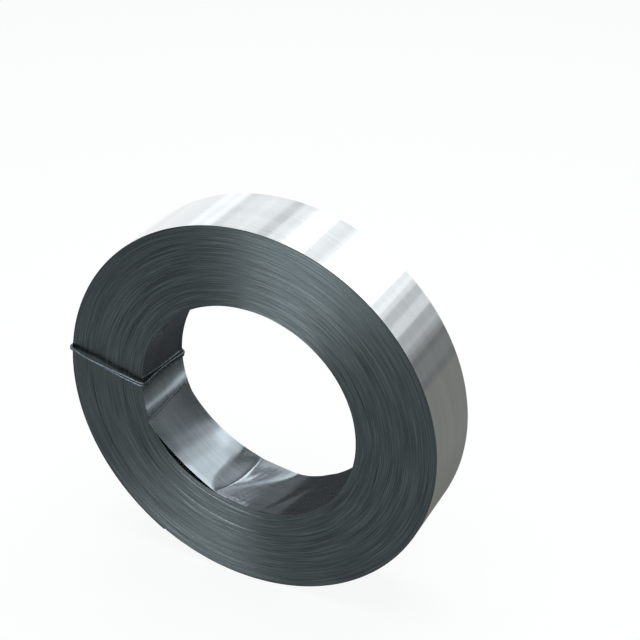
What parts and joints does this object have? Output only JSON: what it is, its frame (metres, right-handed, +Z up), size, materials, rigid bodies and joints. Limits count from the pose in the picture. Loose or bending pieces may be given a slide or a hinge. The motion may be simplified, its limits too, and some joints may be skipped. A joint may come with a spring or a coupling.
{
  "type": "galvanised steel strip coil",
  "caption": "Narrow slit coil of bright galvanised steel strip, wound on an open bore and tied across its wall with a doubled wire; it stands on its rim.",
  "frame": {"origin": "on the floor, under the middle of the coil, which stands on its rim", "axes": "+Y along the coil's axis from the front end to the back end, +Z up"},
  "size_m": [0.5139, 0.119, 0.51],
  "materials": {
    "galvanised_strip": "bright zinc with fine lines along the strip",
    "tie_wire": "drawn soft steel wire"
  },
  "bodies": {
    "root": {"strip_coil": "galvanised_strip", "tie_wire": "tie_wire"}
  },
  "joints": []
}
